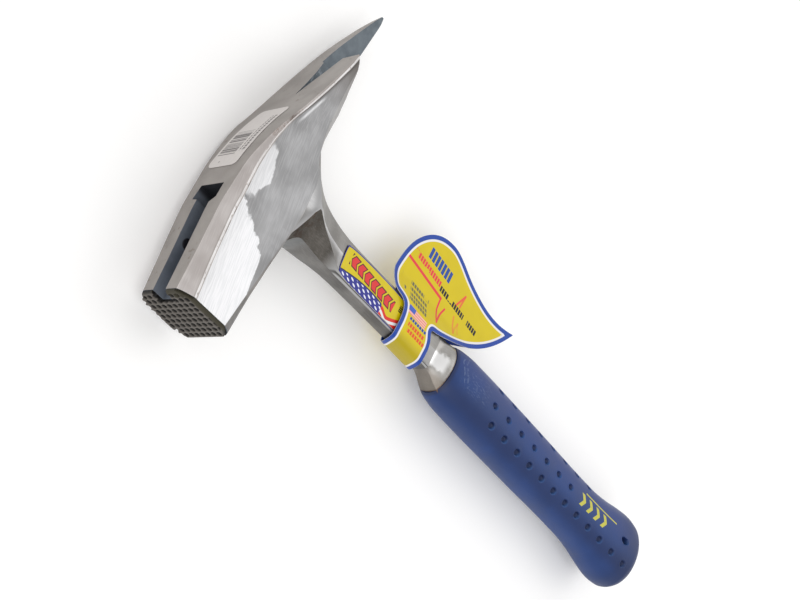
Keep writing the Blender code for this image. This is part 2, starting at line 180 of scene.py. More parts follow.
def to_row(p):
    """A point in the hammer frame, in millimetres, as a point in the row frame, in metres."""
    return Vector(((p[2] + ORIGIN.x) * MM, (p[0] + ORIGIN.y) * MM, (p[1] + ORIGIN.z) * MM))


def smooth(table, t):
    """Monotone cubic through the table's rows; the first column is the key."""
    rows = np.array(sorted(table))
    keys, values = rows[:, 0], rows[:, 1:]
    i = int(np.clip(np.searchsorted(keys, t) - 1, 0, len(keys) - 2))
    slopes = np.diff(values, axis=0) / np.diff(keys)[:, None]

    def tangent(k):
        if k == 0 or k == len(keys) - 1:
            return slopes[min(k, len(slopes) - 1)]
        a, b = slopes[k - 1], slopes[k]
        total = a + b
        safe = np.where(np.abs(total) < 1e-9, 1.0, total)
        return np.where(a * b > 0.0, 2.0 * a * b / safe, 0.0)

    h = keys[i + 1] - keys[i]
    s = (t - keys[i]) / h
    near, far = values[i], values[i + 1]
    return ((1 + 2 * s) * (1 - s) ** 2 * near + s * (1 - s) ** 2 * h * tangent(i)
            + s * s * (3 - 2 * s) * far + s * s * (s - 1) * h * tangent(i + 1))


def steps(table, spacing):
    """Keys of the table with even steps of about the spacing between them."""
    keys = sorted(row[0] for row in table)
    places = [keys[0]]
    for low, high in zip(keys[:-1], keys[1:]):
        count = max(1, round((high - low) / spacing))
        places += [low + (high - low) * k / count for k in range(1, count + 1)]
    return places


# ---------------------------------------------------------------- node trees

def linear(level):
    """Linear value of an sRGB level from 0 to 255."""
    c = level / 255
    return c / 12.92 if c <= 0.04045 else ((c + 0.055) / 1.055) ** 2.4


class Field:
    """A node's output that varies over the surface, with the arithmetic of a number."""

    def __init__(self, paint, socket):
        self.paint, self.socket = paint, socket

    def __add__(self, other):
        return self.paint.math("ADD", self, other)

    def __sub__(self, other):
        return self.paint.math("SUBTRACT", self, other)

    def __rsub__(self, other):
        return self.paint.math("SUBTRACT", other, self)

    def __mul__(self, other):
        return self.paint.math("MULTIPLY", self, other)

    def __abs__(self):
        return self.paint.math("ABSOLUTE", self)

    __radd__, __rmul__ = __add__, __mul__


class Paint:
    """One material's node tree, with short calls for the nodes that the looks here use. Places
    are in millimetres in the hammer frame, colours are sRGB from 0 to 255, masks 0 to 1."""

    def __init__(self, name, roughness=0.5, metallic=0.0):
        self.material = bpy.data.materials.new(name)
        self.material.use_nodes = True
        self.nodes = self.material.node_tree.nodes
        self.links = self.material.node_tree.links
        self.shader = self.nodes["Principled BSDF"]
        self.settle(Roughness=roughness, Metallic=metallic)
        turn = Matrix(((0, 1, 0), (0, 0, 1), (1, 0, 0))).to_euler("XYZ")
        coords = self.node("ShaderNodeTexCoord")
        self.point = self.node("ShaderNodeMapping", {
            "Vector": coords.outputs["Object"], "Scale": (1 / MM, 1 / MM, 1 / MM),
            "Rotation": turn, "Location": (-ORIGIN.y, -ORIGIN.z, -ORIGIN.x)}).outputs["Vector"]
        split = self.node("ShaderNodeSeparateXYZ", {"Vector": self.point})
        self.x, self.y, self.z = (Field(self, socket) for socket in split.outputs)
        self.tone = (255, 255, 255)

    def settle(self, **values):
        """Uniform values on the shader's own sockets; _ stands for a space in the name."""
        for name, value in values.items():
            self.shader.inputs[name.replace("_", " ")].default_value = value

    def node(self, kind, inputs=None, **settings):
        made = self.nodes.new(kind)
        for key, value in settings.items():
            setattr(made, key, value)
        for key, value in (inputs or {}).items():
            self.plug(made.inputs[key], value)
        return made

    def plug(self, socket, value):
        if isinstance(value, Field):
            value = value.socket
        if isinstance(value, bpy.types.NodeSocket):
            self.links.new(value, socket)
        elif socket.type == "RGBA":
            socket.default_value = (*(linear(level) for level in value), 1.0)
        else:
            socket.default_value = value

    def field(self, kind, output, inputs=None, **settings):
        return Field(self, self.node(kind, inputs, **settings).outputs[output])

    def math(self, operation, a, b=0.0):
        return self.field("ShaderNodeMath", 0, {0: a, 1: b}, operation=operation)

    def fract(self, value):
        return self.math("FRACT", value)

    def ramp(self, value, low, high):
        """0 below low, 1 above high, smooth between; low above high turns it round."""
        first, last = (1.0, 0.0) if low > high else (0.0, 1.0)
        return self.field("ShaderNodeMapRange", "Result", {
            "Value": value, "From Min": min(low, high), "From Max": max(low, high),
            "To Min": first, "To Max": last}, interpolation_type="SMOOTHSTEP")

    def either(self, *masks):
        most = masks[0]
        for mask in masks[1:]:
            most = self.math("MAXIMUM", most, mask)
        return most

    def within(self, value, low, high, soft=0.08):
        return (self.ramp(value, low - soft, low + soft)
                * self.ramp(value, high + soft, high - soft))

    def near(self, value, centre, half, soft=0.08):
        """1 where the value is within half of the centre, which may be a field."""
        return self.ramp(abs(value - centre), half + soft, half - soft)

    def noise(self, scale, detail=2.0, stretch=(1.0, 1.0, 1.0), point=None):
        """Noise of about 0 to 1; the scale is in cycles a millimetre, times the stretch."""
        vector = self.node("ShaderNodeVectorMath", {0: point or self.point, 1: stretch},
                           operation="MULTIPLY")
        return self.field("ShaderNodeTexNoise", "Fac", {
            "Vector": vector.outputs[0], "Scale": scale, "Detail": detail})

    def patches(self, scale, detail, low, high, stretch=(1.0, 1.0, 1.0)):
        """Mask of the places where the noise is above a level from low to high."""
        return self.ramp(self.noise(scale, detail, stretch), low, high)

    def attribute(self, name):
        return self.field("ShaderNodeAttribute", "Fac", attribute_name=name)

    def belt_marks(self, along):
        """Brush marks along X or Z. Those on X lean by a few degrees, as a belt leaves them."""
        stretch = {"X": (0.05, 1.0, 1.0), "Z": (1.0, 1.0, 0.05), "none": (1.0, 1.0, 1.0)}[along]
        lean = (0.0, -0.19 if along == "X" else 0.0, 0.0)
        leaning = self.node("ShaderNodeMapping", {"Vector": self.point, "Rotation": lean})
        return self.noise(2.4, 4.0, stretch, leaning.outputs["Vector"])

    def line(self, start, end):
        """Distance in millimetres to a straight stretch between two points x, z."""
        (ax, az), (bx, bz) = start, end
        length = math.hypot(bx - ax, bz - az)
        ux, uz = (bx - ax) / length, (bz - az) / length
        dx, dz = self.x - ax, self.z - az
        along = dx * ux + dz * uz
        over = self.math("MAXIMUM", along - length) + self.math("MAXIMUM", along * -1.0)
        across = dx * uz - dz * ux
        return self.math("SQRT", over * over + across * across)

    def mix(self, factor, a, b):
        return self.node("ShaderNodeMix", {0: factor, 6: a, 7: b}, data_type="RGBA").outputs[2]

    def tint(self, mask, colour):
        """Lay a colour over the tone so far."""
        self.tone = self.mix(mask, self.tone, colour)

    def rough(self, value):
        self.plug(self.shader.inputs["Roughness"], value)

    def bump(self, height, distance, strength=1.0, edge=0.0):
        """Bump from a height of 0 to 1, over edges that are softened when edge is given."""
        inputs = {"Height": height, "Distance": distance * MM, "Strength": strength}
        if edge:
            bevel = self.node("ShaderNodeBevel", {"Radius": edge * MM}, samples=4)
            inputs["Normal"] = bevel.outputs["Normal"]
        self.plug(self.shader.inputs["Normal"], self.node("ShaderNodeBump", inputs).outputs[0])

    def done(self):
        self.plug(self.shader.inputs["Base Color"], self.tone)
        return self.material


def brushed(name, metallic, along, base, dark, light, rough, grain=1.0):
    """Brush marks that run along X or Z, over slow cloudy changes of tone."""
    paint = Paint(name, metallic=metallic)
    marks = paint.belt_marks(along)
    paint.tone = paint.mix(paint.patches(0.08, 2.0, 0.3, 0.7), dark, light)
    paint.tint(paint.ramp(marks, 0.62, 0.38) * (0.3 * grain), dark)
    paint.tint(paint.ramp(marks, 0.5, 0.68) * 0.5, light)
    paint.tint(0.3, base)
    paint.rough(marks * (0.2 * grain) + (rough - 0.1 * grain))
    paint.bump(marks, 0.03 * grain, 0.6, edge=0.35)
    return paint


def steel_top():
    """Sand-finished top of the head and claw: warm grey, with a few smudges and pits."""
    paint = brushed("steel_top", 0.85, "none", (158, 153, 149), (146, 141, 137),
                    (168, 163, 159), 0.52, 0.6)
    smudge = paint.patches(0.35, 4.0, 0.62, 0.7) * paint.patches(0.07, 1.0, 0.5, 0.6)
    paint.tint(smudge * 0.45, (112, 98, 88))
    return paint.done()


def steel_shoulder():
    """Rounded shoulder beside the top flat, faintly pink, with long brush marks; painted shade
    along the claw.
    """
    paint = brushed("steel_shoulder", 0.9, "X", (206, 200, 198), (186, 179, 176),
                    (220, 215, 213), 0.5)
    scorch = (paint.within(paint.x, -27.0, -9.0, 3.0)
              * paint.patches(0.9, 3.0, 0.45, 0.6, (1.0, 1.0, 3.0)))
    smoke = paint.near(paint.x, -21.0, 2.5, 3.0) * paint.ramp(paint.y, 15.5, 17.0)
    paint.tint(scorch * 0.6, (150, 128, 116))
    paint.tint(smoke * 0.6, (92, 82, 76))
    # Painted shade: darker along the claw towards its tips, where the shoulder turns away.
    paint.tint(paint.ramp(paint.x, -26.0, -60.0) * 0.6, (150, 142, 136))
    return paint.done()


def steel_lip():
    """Narrow ridge along the cheek's top edge, bright with a painted highlight, nicked and edged
    in brown.
    """
    paint = brushed("steel_lip", 0.9, "X", (222, 220, 220), (196, 192, 190), (236, 235, 235),
                    0.42)
    paint.tint(paint.patches(0.8, 3.0, 0.62, 0.7, (0.5, 1.0, 1.0)) * 0.6, (128, 116, 106))
    return paint.done()


def steel_groove():
    """Dull line on each side of the lip, with painted shade along the claw."""
    paint = brushed("steel_groove", 0.7, "X", (188, 182, 178), (168, 161, 156), (202, 197, 194),
                    0.55, 0.5)
    paint.tint(paint.patches(0.5, 3.0, 0.58, 0.7, (0.4, 1.0, 1.0)) * 0.7, (112, 100, 92))
    # Painted shade along the claw, where the cheek hollows under the lip.
    paint.tint(paint.ramp(paint.x, -14.0, -30.0) * 0.8, (84, 78, 74))
    return paint.done()


def painted_cheek_highlight(paint):
    """Mask of the cheek's painted highlight: a bright patch, a second one above it and a sliver.
    """
    x, z = paint.x, paint.z
    # The patch ends on a wavy line that slants from the lip to the lower edge.
    wobble = (paint.noise(0.22, 5.0) - 0.5) * 9.0
    below = -10.0 - z
    slant = below * 0.62 + 21.5
    hook = paint.ramp(below, 18.0, 22.5) * 16.0
    patch = paint.ramp(x - slant - (hook + wobble), -0.4, 0.7)
    upper_low = abs(x - 7.0) * 0.35 - 15.6
    upper = (paint.within(x + wobble, -6.0, 17.0, 1.6)
             * paint.ramp(z + wobble * 0.5 - upper_low, -0.3, 0.6))
    sliver = paint.within(x, -39.0, -24.0, 3.0) * paint.near(z, x * 0.24 - 6.0, 0.5, 0.5)
    return paint.either(patch, upper * 0.85, sliver * 0.75)


def steel_cheek():
    """Satin cheek, brushed along the head, with a painted highlight towards the striking face and
    painted shade towards the claw.
    """
    paint = brushed("steel_cheek", 0.85, "X", (158, 158, 159), (134, 134, 135), (182, 182, 184),
                    0.46, 1.8)
    x, z = paint.x, paint.z
    # Painted shade: darker towards the claw's tips, where the cheek turns away.
    paint.tint(paint.ramp(x, -34.0, -70.0) * 0.85, (98, 91, 85))
    # Painted shade: a dark band in the hollow just under the claw's ridge.
    hollow = paint.near(z, x * 0.262 - 3.6, 0.7, 0.9) * paint.ramp(x, -26.0, -36.0)
    paint.tint(hollow * 0.6, (70, 66, 63))
    # Painted highlight: the bright patches, weaker near the low edge.
    low_edge = paint.ramp(z, -27.5, -36.5) * paint.ramp(x, 62.0, 20.0)
    painted_highlight = paint.mix(paint.ramp(paint.belt_marks("X"), 0.38, 0.6), (220, 221, 223),
                      (236, 236, 238))
    paint.tint(painted_cheek_highlight(paint) * (1.0 - low_edge * 0.5), painted_highlight)
    return paint.done()


def steel_under():
    """Bevel and underside of the head: ground like the cheek, with painted shade that makes it
    darker and browner towards the claw's tips, and darker towards the striking face."""
    paint = brushed("steel_under", 0.85, "X", (166, 165, 165), (142, 140, 138), (184, 183, 183),
                    0.45, 1.3)
    # Painted shade towards the claw's tips, where the prongs round off.
    paint.tint(paint.ramp(paint.x, -40.0, -72.0) * 0.75, (104, 97, 91))
    paint.tint(paint.ramp(paint.x, 22.0, 30.0) * 0.6, (122, 118, 114))
    return paint.done()


def steel_flank():
    """Flank of the neck, dark with a painted reflection, with streaks down it and a brown heat
    stain under the cheek.
    """
    paint = brushed("steel_flank", 0.85, "Z", (96, 92, 87), (72, 68, 63), (118, 114, 109),
                    0.42, 1.4)
    stain = paint.ramp(paint.z, -52.0, -38.0) * paint.patches(0.45, 4.0, 0.45, 0.64)
    paint.tint(stain * 0.75, (70, 52, 40))
    # The shank below the neck is polished and painted brighter again, a painted reflection, with
    # one thin painted shadow line along it by the label's edge.
    shank = paint.ramp(paint.z, -60.0, -74.0)
    paint.tint(shank, (178, 178, 178))
    paint.tint(shank * paint.near(paint.y, 4.75, 0.16, 0.12) * 0.85, (46, 42, 38))
    return paint.done()


def steel_strip():
    """Blended strip between the neck's ridge and its rim: dark beside the ridge with painted
    shade, then bright with a painted highlight, and like the cheek where it runs up beside it."""
    paint = brushed("steel_strip", 0.85, "Z", (200, 200, 201), (176, 176, 176), (220, 220, 221),
                    0.4)
    # Painted shade beside the ridge; the strip's bright base colour is a painted highlight.
    paint.tint(paint.ramp(paint.x + paint.z * -0.09, 3.0, 6.5) * 0.6, (104, 101, 97))
    flat = paint.ramp(paint.y, CHEEK - 0.9, CHEEK - 0.15) * paint.ramp(paint.z, -46.0, -43.0)
    paint.tint(flat, (164, 164, 165))
    return paint.done()


def steel_back():
    """Claw side of the neck, an even mid grey."""
    return brushed("steel_back", 0.9, "Z", (142, 140, 137), (124, 122, 119), (160, 158, 155),
                   0.46, 1.2).done()


def steel_front():
    """Front of the neck: grey, with a bluish cast high up."""
    paint = brushed("steel_front", 0.9, "Z", (112, 110, 108), (88, 86, 84), (140, 138, 135),
                    0.4, 1.3)
    paint.tint(paint.ramp(paint.z, -52.0, -44.0) * 0.5, (134, 138, 140))
    return paint.done()


def steel_swell():
    """Polished swell above the grip, with a bright ragged painted highlight on its round side and
    a brown line of residue where the grip starts."""
    paint = brushed("steel_swell", 0.9, "Z", (168, 166, 163), (136, 133, 129), (192, 190, 187),
                    0.34, 0.6)
    ragged = (paint.noise(0.35, 4.0) - 0.5) * 5.0
    # Painted highlight: a bright ragged patch on the swell's round side.
    painted_highlight = (paint.ramp(abs(paint.x - 0.5 + ragged), 5.2, 2.4)
             * paint.ramp(paint.z, -150.6, -147.6) * paint.ramp(paint.y, 3.0, 5.0))
    paint.tint(painted_highlight, (246, 246, 246))
    paint.tint(paint.ramp(paint.x, 4.5, 8.5) * 0.65, (88, 76, 62))
    edge = paint.z + paint.noise(1.3, 3.0) * -1.1
    paint.tint(paint.ramp(edge, MOUTH_Z + 0.9, MOUTH_Z + 0.1) * 0.85, (92, 70, 56))
    return paint.done()


def cut_steel():
    """Blue-grey faces left by the cutters: slot, pocket and the inside of the claw; painted shade
    darkens the pocket.
    """
    paint = Paint("cut_steel", metallic=0.35)
    cloud = paint.patches(0.15, 3.0, 0.3, 0.7)
    claw = paint.mix(cloud, (92, 101, 109), (112, 121, 128))
    deep = paint.mix(cloud, (108, 115, 126), (118, 125, 136))
    # Painted shade: the pocket at the slot's end is darkened nearly to black.
    pocket = (paint.within(paint.x, POCKET_X[0] - 1.0, POCKET_X[1], 0.6)
              * paint.either(paint.ramp(paint.y, -3.0, 4.0), paint.ramp(paint.x, 21.0, 18.0)))
    deep = paint.mix(pocket * 0.9, deep, (28, 28, 33))
    paint.tone = paint.mix(paint.ramp(paint.x, -20.0, 5.0), claw, deep)
    scrape = (paint.within(paint.x, -64.0, -44.0, 1.0)
              * paint.patches(0.8, 4.0, 0.55, 0.62, (0.4, 1.0, 1.0)))
    paint.tint(scrape * 0.6, (146, 154, 162))
    chatter = paint.noise(1.4, 3.0, (0.3, 1.0, 1.0))
    paint.rough(chatter * 0.3 + 0.42)
    paint.bump(chatter, 0.05, 0.7)
    return paint.done()


def face_steel():
    """Milled striking face: dull grey crests, pits near black with painted shade, olive along the
    chamfers.
    """
    paint = Paint("face_steel", roughness=0.55, metallic=0.4)
    depth = paint.ramp(paint.x, FACE_X + 0.25, FACE_X - 0.45)
    grain = paint.noise(1.5, 3.0)
    paint.tone = paint.mix(grain, (112, 107, 101), (80, 75, 70))
    # Painted shade in the pits, darker the deeper they go.
    paint.tint(paint.math("POWER", depth, 0.45), (6, 4, 3))
    chamfer = paint.either(paint.ramp(paint.y, 13.4, 14.2),
                           paint.ramp(paint.z + paint.y * 0.3, -8.6, -7.8))
    paint.tint(chamfer * 0.85, (58, 54, 38))
    paint.bump(grain, 0.04, 0.8)
    return paint.done()


def magnet_metal():
    paint = Paint("magnet_metal", metallic=0.8)
    grain = paint.noise(1.0, 3.0)
    paint.tone = paint.mix(grain, (34, 34, 38), (62, 62, 68))
    paint.rough(grain * 0.3 + 0.3)
    paint.bump(grain, 0.03, 0.5)
    return paint.done()


def grip_scuff(paint):
    """Mask of pale rubbed threads where the vinyl thins at the mouth, and a cloud below them."""
    x, z = paint.x, paint.z
    bow = z + abs(x + 7.0) * 0.5
    thread = (paint.either(paint.near(bow, -155.8, 0.3, 0.25),
                           paint.near(bow, -158.2, 0.5, 0.5) * 0.6)
              * paint.patches(0.9, 4.0, 0.42, 0.56) * paint.within(x, -12.0, 3.0, 2.0))
    cloudy = (paint.within(z, -178.0, -160.0, 5.0) * paint.within(x, -8.0, 4.0, 3.0)
              * paint.patches(0.8, 5.0, 0.5, 0.72, (2.0, 2.0, 0.6)))
    return paint.either(thread, cloudy * 0.5) * paint.ramp(paint.y, 5.0, 9.0)


def grip_mark(paint):
    """Mask of the printed mark: four chevrons and a bar, on both sides of the grip."""
    x, z = paint.x, paint.z
    stripe = z - abs(x + 1.4) * 0.7
    arrows = [paint.near(stripe, place, 1.3, 0.12) for place in (-270.0, -277.0, -284.0, -291.0)]
    arrows = paint.either(*arrows) * paint.near(x, -1.4, 3.3, 0.12)
    bar = paint.near(x, -6.1, 0.35, 0.1) * paint.within(z, -300.0, -270.0)
    return paint.either(arrows, bar) * paint.ramp(abs(paint.y), 9.0, 9.5)


def grip_vinyl():
    """Moulded blue vinyl with a fine leather grain, scuffed near its mouth, with a small printed
    chevron mark near the butt. Painted shade darkens its front side and its dimples, and painted
    highlights lighten its back and the dimples' rims."""
    paint = Paint("grip_vinyl")
    x, z = paint.x, paint.z
    cloud = paint.patches(0.05, 3.0, 0.35, 0.65)
    paint.tone = paint.mix(cloud, (16, 50, 106), (24, 58, 118))
    # Painted shade on the front side, and a painted sheen lighter towards the back.
    paint.tint(paint.ramp(x, 1.0, 9.0) * paint.ramp(x, 15.5, 10.0) * 0.6, (14, 34, 78))
    paint.tint(paint.ramp(x, 3.0, -12.0) * 0.7, (52, 68, 126))
    # Painted shade in the dimples and on their walls.
    pit = paint.attribute("pressed")
    paint.tint(paint.ramp(pit, 0.1, 0.9) * 0.55, (8, 18, 50))
    paint.tint(paint.ramp(pit, 0.02, 0.25) * paint.ramp(pit, 1.0, 0.8) * 0.45, (8, 18, 58))
    # Painted highlight on each dimple's rim towards the front and the butt.
    paint.tint(paint.attribute("worn") * 0.55, (52, 104, 172))
    paint.tint(paint.ramp(z, -296.0, -324.0) * 0.6, (14, 34, 76))
    paint.tint(grip_scuff(paint) * 0.34, (136, 154, 184))
    paint.tint(paint.ramp(z, MOUTH_Z - 1.6, MOUTH_Z + 0.2) * 0.6, (26, 32, 58))
    grain = paint.field("ShaderNodeTexVoronoi", "Distance", {"Vector": paint.point, "Scale": 1.5})
    fine = paint.noise(3.0, 3.0)
    paint.tint(grip_mark(paint) * paint.ramp(fine, 0.3, 0.36) * 0.9, (206, 200, 64))
    paint.settle(Specular_IOR_Level=0.4)
    paint.rough(cloud * 0.08 + 0.44)
    paint.bump(grain * 0.6 + fine * 0.5, 0.05, 0.6)
    return paint.done()


def paper_sticker():
    """White paper sticker with bars and a row of small dashes; none of it can be read."""
    paint = Paint("paper_sticker", roughness=0.6)
    x, y = paint.x, paint.y
    paint.tone = paint.mix(paint.noise(0.6, 3.0), (214, 209, 206), (202, 197, 194))
    widths = paint.field("ShaderNodeTexNoise", "Fac", {"W": x, "Scale": 1.15, "Detail": 1.0},
                         noise_dimensions="1D")
    bars = (paint.ramp(widths, 0.47, 0.5) * paint.within(x, -15.0, 0.5)
            * paint.within(y, -9.6, 1.2))
    row = (paint.ramp(paint.fract(x * 0.62), 0.25, 0.32) * paint.within(x, -25.0, -1.0)
           * paint.either(paint.near(y, 5.0, 0.75), paint.near(y, 2.9, 0.35)))
    dot = paint.near(x, 4.6, 0.5) * paint.near(y, -5.2, 0.4)
    paint.tint(paint.either(bars, row, dot * 0.6) * 0.85, (84, 80, 80))
    paint.bump(paint.noise(1.6, 3.0), 0.02, 0.5)
    return paint.done()


def label_dots(paint):
    """Blue field dotted with white. Its back edge is a long shallow curve with a corner near
    the lower end, creased in black."""
    x, z = paint.x, paint.z
    pitch_x, pitch_z = 1.65, 4.1
    along = paint.math("DIVIDE", z + 73.0, -30.0)
    sag = along * (1.0 - along) * 6.2
    corner = paint.ramp(z, -100.8, -104.2) * 4.4
    over = x - (3.5 - along * 2.3 - sag + corner)
    blue = paint.ramp(over, 0.0, 0.15) * paint.ramp(z, -106.5, -106.0)
    row = (x - 5.6) * (1 / pitch_x)
    dx = (paint.fract(row) - 0.5) * (pitch_x / 0.55)
    dz = (paint.fract(z * (1 / pitch_z) + row * 0.5) - 0.5) * (pitch_z / 0.85)
    paint.tint(blue, LABEL_BLUE)
    paint.tint(blue * paint.ramp(dx * dx + dz * dz, 1.1, 0.75) * paint.ramp(over, 0.5, 0.7),
               (236, 238, 250))
    paint.tint(paint.near(over, 0.0, 0.2) * paint.ramp(z, -108.0, -107.0), (24, 22, 28))


def label_waves(paint):
    """Red, white and red bands that swing back across the label towards the tag."""
    x, z = paint.x, paint.z
    fall = paint.math("POWER", paint.math("MAXIMUM", -107.0 - z), 1.25)
    swing = fall * -0.26 + 5.0 - paint.ramp(z, -107.0, -102.0) * 2.0
    low = paint.ramp(z, -101.6, -102.1)
    red = (214, 44, 30)
    for offset, band in ((-1.6, red), (0.1, (226, 230, 232)), (1.5, red), (3.4, LABEL_BLUE)):
        paint.tint(paint.ramp(x - (swing + offset), 0.0, 0.15) * low, band)


def label_film():
    """Glossy shank label: yellow, with the dotted field, the waves and a row of red chevrons
    with dark outlines. Its edge distance is a mesh attribute."""
    paint = Paint("label_film", roughness=0.34)
    x, z = paint.x, paint.z
    paint.tone = paint.mix(paint.noise(0.3, 2.0), (216, 196, 6), (202, 182, 8))
    label_dots(paint)
    label_waves(paint)
    away = abs(x - ((-73.0 - z) * 0.055 - 4.1))
    beat = paint.math("PINGPONG", z + 75.0 + away * 0.55, 2.5)
    for half, cut, ink in ((2.9, 0.45, (70, 14, 34)), (2.35, 0.95, (216, 50, 50))):
        paint.tint(paint.near(away, 0.0, half, 0.1) * paint.ramp(beat, cut - 0.1, cut + 0.1)
                   * paint.within(z, -108.0, -75.2), ink)
    mark = (paint.near(x, -4.3, 1.6) * paint.near(z, -112.4, 1.1)
            * paint.ramp(paint.fract(x * 1.1), 0.25, 0.35))
    paint.tint(mark, (24, 22, 18))
    paint.tint(paint.ramp(paint.attribute("edge"), 0.5, 0.42), (48, 52, 140))
    paint.settle(Specular_IOR_Level=0.2, Coat_Weight=0.2, Coat_Roughness=0.12)
    paint.bump(paint.noise(0.12, 2.0), 0.12, 0.5)
    return paint.done()


def tag_bar(paint, centre, half, high, low, lean=0.0):
    middle = (high - paint.z) * lean + centre
    return paint.near(paint.x, middle, half, 0.1) * paint.within(paint.z, low, high)


def tag_prints(paint):
    """Broken bars in place of words: a heading, a small striped block and rows of dashes."""
    x, z = paint.x, paint.z
    cell = paint.node("ShaderNodeCombineXYZ", {0: paint.math("FLOOR", z * 0.29),
                                               1: paint.math("FLOOR", x * 0.3)})
    words = paint.field("ShaderNodeTexWhiteNoise", "Value", {"Vector": cell.outputs[0]},
                        noise_dimensions="2D")
    small = paint.ramp(paint.fract(z * 0.55), 0.2, 0.28) * paint.math("GREATER_THAN", words, 0.18)
    paint.tint(tag_bar(paint, -41.4, 2.9, -115.5, -134.8, 0.1)
               * paint.ramp(paint.fract(z * 0.37), 0.24, 0.3), TAG_BLUE)
    block = tag_bar(paint, -7.6, 1.9, -114.8, -128.6, 0.05)
    stripes = paint.math("GREATER_THAN", paint.fract(x * 0.9), 0.5)
    paint.tint(block, paint.mix(stripes, (240, 190, 170), (226, 140, 130)))
    paint.tint(block * paint.ramp(z, -119.8, -119.6) * paint.ramp(x, -6.8, -7.0), (66, 96, 190))
    for centre, half, high, low, lean, strength, ink in TAG_ROWS:
        paint.tint(tag_bar(paint, centre, half, high, low, lean) * small * strength, ink)


def tag_lines(paint):
    """A red rule that breaks into a zigzag, and a jagged line that fades along its way."""
    for start, end, thick in zip(TAG_RULE[:-1], TAG_RULE[1:], (0.75, 0.55, 0.55)):
        paint.tint(paint.ramp(paint.line(start, end), thick + 0.08, thick - 0.08), TAG_RED)
    for k, (start, end) in enumerate(zip(TAG_SPARK[:-1], TAG_SPARK[1:])):
        if k != 2:
            shape = paint.ramp(paint.line(start, end), 0.65, 0.5)
            paint.tint(shape * (1.0 - 0.14 * k), (228, 92, 62))


def tag_card():
    """Printed card: blue rim, white line and yellow field, with prints on its near side and
    painted shade over the fold. Its edge distance is a mesh attribute."""
    paint = Paint("tag_card", roughness=0.38)
    edge = paint.attribute("edge")
    yellow = paint.mix(paint.noise(0.08, 2.0), (218, 196, 6), (204, 182, 8))
    # Painted shade: the yellow turns olive towards the fold round the shank's front.
    yellow = paint.mix(paint.ramp(paint.x, 2.0, 8.6) * 0.6, yellow, (150, 134, 28))
    paint.tone = yellow
    tag_prints(paint)
    tag_lines(paint)
    paint.tint(paint.ramp(paint.y, 0.05, 0.0), yellow)
    paint.tint(paint.ramp(edge, 3.3, 3.15), (232, 230, 228))
    paint.tint(paint.ramp(edge, 2.25, 2.1), (32, 70, 160))
    paint.tint(paint.ramp(edge, 0.04, 0.02) * 0.7, (214, 216, 220))
    paint.settle(Specular_IOR_Level=0.2, Coat_Weight=0.1, Coat_Roughness=0.25)
    paint.bump(paint.noise(0.9, 3.0), 0.01, 0.4)
    return paint.done()


# ---------------------------------------------------------------- mesh helpers

def add_object(name, bm, materials=()):
    """Turn a bmesh drawn in the hammer frame into an object in the row frame."""
    for vert in bm.verts:
        vert.co = to_row(vert.co)
    bmesh.ops.recalc_face_normals(bm, faces=bm.faces)
    mesh = bpy.data.meshes.new(name)
    bm.to_mesh(mesh)
    bm.free()
    obj = bpy.data.objects.new(name, mesh)
    bpy.context.scene.collection.objects.link(obj)
    for made in materials:
        mesh.materials.append(made)
    return obj


def loft(name, rings, tags, materials, caps=(0, 0)):
    """Closed body through rings; tags give the material of each side's faces."""
    bm = bmesh.new()
    loops = [[bm.verts.new(p) for p in ring] for ring in rings]
    count = len(loops[0])
    for first, second in zip(loops[:-1], loops[1:]):
        for k in range(count):
            n = (k + 1) % count
            side = bm.faces.new((first[k], first[n], second[n], second[k]))
            side.material_index = tags[k]
    for ring, tag in zip((loops[0], loops[-1]), caps):
        bm.faces.new(ring).material_index = tag
    return add_object(name, bm, materials)


def prism(name, outline, plane, low, high, materials, tag):
    place = {"XY": lambda a, b, c: (a, b, c), "XZ": lambda a, b, c: (a, c, b)}[plane]
    rings = [[place(a, b, c) for a, b in outline] for c in (low, high)]
    return loft(name, rings, [tag] * len(outline), materials, (tag, tag))


def boolean(obj, operation, other):
    mod = obj.modifiers.new(operation.lower(), "BOOLEAN")
    mod.operation = operation
    mod.object = other
    mod.solver = "EXACT"


def apply_modifiers(obj):
    """Replace the object's mesh by its evaluated one, and clear the modifiers."""
    graph = bpy.context.evaluated_depsgraph_get()
    mesh = bpy.data.meshes.new_from_object(obj.evaluated_get(graph))
    obj.modifiers.clear()
    obj.data = mesh


def remove(objects):
    for obj in objects:
        bpy.data.objects.remove(obj, do_unlink=True)


def shade(obj, angle):
    obj.data.shade_smooth()
    obj.data.set_sharp_from_angle(angle=math.radians(angle))


def mirrored(half):
    """Closed ring from the half with positive y, both of whose ends lie on y = 0."""
    return half + [(a, -b, c) for a, b, c in reversed(half[1:-1])]


def mirrored_tags(half):
    return half + list(reversed(half))


# ---------------------------------------------------------------- steel

STEEL = ["top", "shoulder", "lip", "groove", "cheek", "under", "flank", "strip", "back", "front",
         "swell", "cut"]
TAG = {name: k for k, name in enumerate(STEEL)}
SHOULDER_STEPS = 10


